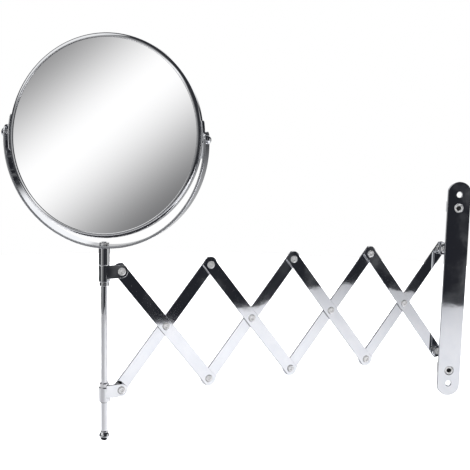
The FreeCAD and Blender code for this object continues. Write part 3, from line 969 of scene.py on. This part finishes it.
# %% Saddles
RING_R = 83.1 * MM
SADDLE_T = 1.0 * MM
SADDLE_HALF_W = 3.6 * MM
SADDLE_END_R = 1.6 * MM
saddle_mid = RING_R + SADDLE_T / 2
saddle_half = radians(10.3)
saddle_length = 2 * saddle_half * saddle_mid
saddle_at = stations(saddle_length, SADDLE_END_R, 40)
saddles = []
for side in (-1, 1):
    path = []
    for s in saddle_at:
        a = -saddle_half + s / saddle_mid
        path.append((side * saddle_mid * cos(a), saddle_mid * sin(a),
                     side * cos(a), sin(a)))
    wide = rounded_reach(saddle_length, SADDLE_HALF_W, SADDLE_END_R, saddle_at)
    saddles.append(bent_strip("saddle", path, wide, SADDLE_T, 0.3 * MM, HEAD, bright_chrome))
saddle_pair = joined("pivot_saddles_form", saddles)
hand_over(saddle_pair, "mirror_head", "pivot_saddles")
print("saddle length", round(saddle_length, 4))

# %% [markdown]
# ## Rim, glasses and pivots
# The rim is a rolled channel: thin metal with round corners that folds over both glasses. It is
# one closed section spun about the mirror's axis, with many steps so that its reflections run
# smoothly. The front glass is flat and the back one is a shallow bowl that magnifies.

# %% Rim
RING_HALF = 4.5 * MM
RING_WALL = 0.9 * MM
LIP_R = RING_R - 3.8 * MM
CORNER_R = 2.5 * MM                   # the corner's depth along the axis
CORNER_WIDE = 3.3 * MM                # its reach inwards, so that more of it faces forward
TURN_HEAD = HEAD @ TO_BACK


def rim_section():
    def corner(cr, ch, r, start, wide=None):
        wide = wide or r
        return [(cr + wide * cos(radians(start + 9 * k)),
                 ch + r * sin(radians(start + 9 * k))) for k in range(11)]

    inside = RING_R - RING_WALL
    deep = RING_HALF - RING_WALL
    r_in = CORNER_R - RING_WALL
    shoulder = RING_R - CORNER_WIDE
    outer = corner(shoulder, -RING_HALF + CORNER_R, CORNER_R, -90, CORNER_WIDE)
    outer += corner(shoulder, RING_HALF - CORNER_R, CORNER_R, 0, CORNER_WIDE)
    inner = corner(inside - r_in, deep - r_in, r_in, 0)[::-1]
    inner += corner(inside - r_in, -deep + r_in, r_in, -90)[::-1]
    lip = LIP_R
    front = [(lip + 0.3 * MM, -RING_HALF + 0.02 * MM)]
    back = [(lip + 0.3 * MM, RING_HALF - 0.02 * MM), (lip, RING_HALF - 0.35 * MM),
            (lip, deep)]
    return [(lip, -deep), (lip, -RING_HALF + 0.35 * MM)] + front + outer + back + inner


rim = turned("mirror_rim_form", rim_section(), TURN_HEAD, bright_chrome, 288, True, 50)
hand_over(rim, "mirror_head", "mirror_rim")
print("rim radius", round(RING_R, 4))

# %% Glasses
GLASS_R = RING_R - RING_WALL - 0.4 * MM
GLASS_T = 2.2 * MM
BEVEL = 1.3 * MM
face = RING_HALF - RING_WALL
plain = turned("mirror_plain_form", [(0, -face), (GLASS_R - BEVEL, -face),
                                     (GLASS_R, -face + BEVEL), (GLASS_R, -face + GLASS_T),
                                     (0, -face + GLASS_T)], TURN_HEAD, silvering, 192, False, 20,
               False)
hand_over(plain, "mirror_head", "mirror_plain")
BOWL_R = 2.2                          # radius of the magnifying glass's curve


def bowl_points(edge_r, edge_h, steps):
    """Arc from the axis out to the edge, dished towards the front."""
    low = BOWL_R - sqrt(BOWL_R ** 2 - edge_r ** 2)
    return [(edge_r * k / steps, edge_h - low + BOWL_R
             - sqrt(BOWL_R ** 2 - (edge_r * k / steps) ** 2)) for k in range(steps + 1)]


inside_bowl = bowl_points(GLASS_R, face - GLASS_T, 24)
outside_bowl = bowl_points(GLASS_R - BEVEL, face, 24)[::-1]
magnifying = turned("mirror_magnifying_form", inside_bowl + [(GLASS_R, face - BEVEL)]
                    + outside_bowl, TURN_HEAD, silvering, 192, False, 20, False)
hand_over(magnifying, "mirror_head", "mirror_magnifying")
# The disc and the ring between the glasses are hidden, so they keep their CAD shape.
for node in ("separator_disc", "glass_spacer_ring"):
    frame["nodes"][node].data.materials.clear()
    frame["nodes"][node].data.materials.append(backing_card)
print("glass radius", round(GLASS_R, 4))

# %% [markdown]
# ### Tilt pivots
# On each side a screw passes through the yoke into the rim. Its head is a domed knob, and a small
# bush keeps the yoke off the saddle. The knob at the wall end is the smaller one.

# %% Pivot bushes and domed knobs
BUSH_R = 3.2 * MM
KNOB_BASE = YOKE_OUT + RUB
KNOB_SKIRT = 0.8 * MM
KNOBS = {-1: (4.1 * MM, 4.0 * MM), 1: (3.4 * MM, 2.9 * MM)}      # radius and height by side


def knob_profile(radius, height):
    """Shank, then a short skirt and a true spherical dome."""
    rise = height - KNOB_SKIRT
    dome_r = (radius ** 2 + rise ** 2) / (2 * rise)
    low = KNOB_BASE + height - dome_r
    start = asin((KNOB_BASE + KNOB_SKIRT - low) / dome_r)
    dome = [(dome_r * cos(a), low + dome_r * sin(a))
            for a in (start + (pi / 2 - start) * k / 20 for k in range(21))]
    dome[-1] = (0, KNOB_BASE + height)
    return [(0, RING_R - RING_WALL), (SHANK_R, RING_R - RING_WALL), (SHANK_R, KNOB_BASE),
            (radius - 0.25 * MM, KNOB_BASE), (radius, KNOB_BASE + 0.25 * MM)] + dome


bush_profile = ring_profile(BUSH_R, SHANK_R, RING_R + SADDLE_T, RING_R + SADDLE_T + MM,
                            0.2 * MM)
screws = []
bushes = []
for side in (-1, 1):
    outwards = HEAD @ Matrix.Rotation(side * pi / 2, 4, "Y")
    screws.append(turned("screw", knob_profile(*KNOBS[side]), outwards, bright_chrome, 56, False,
                         50))
    bushes.append(turned("bush", bush_profile, outwards, rivet_nickel, 56, True))
hand_over(joined("pivot_screws_form", screws), "mirror_head", "pivot_screws")
hand_over(joined("pivot_bushes_form", bushes), "mirror_head", "pivot_bushes")
print("head done")

# %% [markdown]
# ## Floor, light and camera
# Chrome shows its surroundings. A pale floor lies well below the part, since the part hangs from
# a wall, and ends in front so that flat upright pieces see pale floor low down and a dark room
# above. Pale soft boxes up and to the left give the mirror its diagonal glow. Behind, a pale
# backdrop keeps the outline clean.

# %% Floor
FLOOR_X = -0.2
FLOOR_Z = -0.45
FLOOR_R = 2.6
# Chrome shows a floor sheet whose far edge is drawn with care, because that edge is the sharp
# line between pale and dark on every link. Its reach from the centre is given by angle from the
# front (-Y) towards the wall end (+X).
SHEET_REACH = ((-180, 1.9), (-60, 1.95), (0, 1.95), (22, 1.93), (31, 1.74), (39.5, 1.68),
               (47, 1.86), (53, 2.14), (56, 2.24), (60, 2.16), (75, 2.1), (180, 1.9))
SHEET_BACK = 0.55


def sheet_reach(angle):
    for (a, low), (b, high) in zip(SHEET_REACH, SHEET_REACH[1:]):
        if angle <= b:
            t = (angle - a) / (b - a)
            return low + (high - low) * t * t * (3 - 2 * t)
    return SHEET_REACH[-1][1]


def flat_card(name, points, height, material, seen):
    """Flat staged shape. Either the camera sees it or reflections do, never both."""
    bm = bmesh.new()
    bm.faces.new([bm.verts.new((FLOOR_X + x, y, height)) for x, y in points])
    mesh = mesh_of(name, bm)
    mesh.materials.append(material)
    made = placed(name, mesh)
    made.visible_glossy = not seen
    made.visible_camera = seen
    made.visible_diffuse = seen
    made.visible_shadow = seen


turns = [radians(-180 + 1.5 * k) for k in range(240)]
floor_paint = moulded("floor_paint", (0.85, 0.85, 0.875), 0.6)
flat_card("floor", [(FLOOR_R * sin(a), -FLOOR_R * cos(a)) for a in turns], FLOOR_Z,
          floor_paint, True)
reaches = [sheet_reach(degrees(a)) for a in turns]
flat_card("floor_sheet", [(r * sin(a), min(-r * cos(a), SHEET_BACK))
                          for a, r in zip(turns, reaches)], FLOOR_Z + 0.005, floor_paint, False)

# A black card under the mirror draws the dark lower edge of the rim, as a studio flag does.
# Only reflections show it.
FLAG_R = 0.5
FLAG_X, FLAG_Y = -0.2, -0.42          # its middle, from the floor's middle
flag_black = moulded("flag_black", (0.03, 0.03, 0.035), 0.9)
flat_card("flag_card", [(FLAG_X + FLAG_R * sin(a), FLAG_Y - FLAG_R * cos(a))
                        for a in turns], FLOOR_Z + 0.015, flag_black, False)
print("floor radius", FLOOR_R, "sheet reach", round(min(reaches), 2), round(max(reaches), 2))

# %% [markdown]
# ### The room in the reflections
# The world is written as soft pale fields on a dark room. Each field is a band or a lobe around
# one direction, and the palest one wins. The camera itself sees plain white behind the part.

# %% Surroundings
world = bpy.data.worlds.new("studio")
world.use_nodes = True
scene.world = world
air = Sheet(world.node_tree)
look = air.node("ShaderNodeTexCoord")


def towards(side_deg, up_deg):
    """Direction at an angle from the front (-Y) towards -X, and up."""
    a, e = radians(side_deg), radians(up_deg)
    return Vector((-sin(a) * cos(e), -cos(a) * cos(e), sin(e)))


def dot(vector):
    return air.node("ShaderNodeVectorMath", {"operation": "DOT_PRODUCT"}, 1, i0=look,
                    i1=tuple(vector))


def lobe(side_deg, up_deg, inner, outer):
    """1 within inner degrees of a direction, falling to 0 at outer degrees."""
    return air.band(dot(towards(side_deg, up_deg)), cos(radians(outer)),
                    cos(radians(inner)))


glow_across = towards(44.5, 4.5).cross(towards(32.7, 16.3)).normalized()
glow_offset = dot(glow_across)
one_side = air.band(glow_offset, sin(radians(-6.6)), 0.0, 0.20, 1.12)
other_side = air.band(glow_offset, 0.0, sin(radians(5.7)), 1.12, 0.3)
glow = one_side.least(other_side) * lobe(40, 12, 22, 44)
upper_left = lobe(72, 45, 26, 34) * air.band(dot(towards(130, 0)), 0.0, 0.10)
high_back = lobe(-165, 26, 16, 25)
right_box = air.band(dot(towards(-90, 0)), 0.87, 0.95)
backdrop = air.band(dot((0, 1, 0)), 0.86, 0.95)
behind_below = air.band(dot(Vector((0.0, 0.6, -0.8)).normalized()), 0.45, 0.85)
mottle = air.node("ShaderNodeTexNoise", Vector=look, Scale=34.0, Detail=4.0)
dark = 0.020 + 0.10 * air.band(mottle, 0.50, 0.72)
level = dark.most(glow).most(0.95 * upper_left).most(0.55 * right_box).most(0.62 * backdrop)
level = level.most(0.42 * behind_below).most(1.1 * high_back)
tint = air.node("ShaderNodeCombineColor", Red=level, Green=level + 0.001,
                Blue=level + 0.006)
seen = air.node("ShaderNodeLightPath")
room = air.node("ShaderNodeBackground", Color=tint, Strength=1.0)
white = air.node("ShaderNodeBackground", Color=grey(1.0), Strength=1.0)
both = air.node("ShaderNodeMixShader", i0=seen, i1=room, i2=white)
air.show(both, "ShaderNodeOutputWorld")
print("world nodes", len(world.node_tree.nodes))

# %% [markdown]
# ### Lamps
# Soft boxes light the floor, the plastic and the dull rivets. Plated pieces don't show them,
# because the pale fields of the room already draw their highlights.

# %% Soft lamps
def lamp(name, place, aim, size, power, spread=180):
    """Soft box that reflections and the camera don't show. Power is in watts."""
    data = bpy.data.lights.new(name, "AREA")
    data.spread = radians(spread)
    data.shape = "RECTANGLE"
    data.size, data.size_y = size
    data.energy = power
    made = placed(name, data)
    made.location = place
    made.visible_glossy = False
    made.visible_camera = False
    made.rotation_euler = (Vector(aim) - Vector(place)).to_track_quat("-Z", "Y").to_euler()


lamp("overhead", (-0.2, 0.3, 2.6), (-0.2, 0.3, 0.0), (2.6, 2.6), 26.0)
lamp("back", (-0.1, 2.0, 1.7), (-0.1, 1.9, -0.45), (4.0, 2.0), 110.0, 110)
lamp("face", (-0.25, -2.0, 1.2), (-0.2, 0.0, 0.08), (0.4, 0.4), 1.3, 30)
lamp("right_front", (0.8, -1.15, 0.55), (0.8, -1.15, -0.45), (0.5, 0.5), 10.5)
lamp("front", (-0.35, -1.6, 0.55), (-0.35, -1.6, -0.45), (0.5, 0.5), 1.9)
print("lamps", len(bpy.data.lights))

# %% [markdown]
# ### Camera
# The camera stands in front, a little above the arm's middle, and looks slightly downwards.

# %% Camera
camera_data = bpy.data.cameras.new("camera")
camera_data.lens = 74.11
camera_data.sensor_width = 36.0
camera_place = Matrix.Translation((-0.26445, -0.914235, 0.204267))
camera_turn = Matrix(((0.998536, -0.013906, -0.052275), (-0.049278, 0.16473, -0.985107),
                      (0.02231, 0.986241, 0.163803)))
camera = placed("camera", camera_data)
camera.matrix_world = camera_place @ camera_turn.to_4x4()
scene.camera = camera
scene.view_settings.view_transform = "Standard"
print("camera at", [round(v, 3) for v in camera.location])
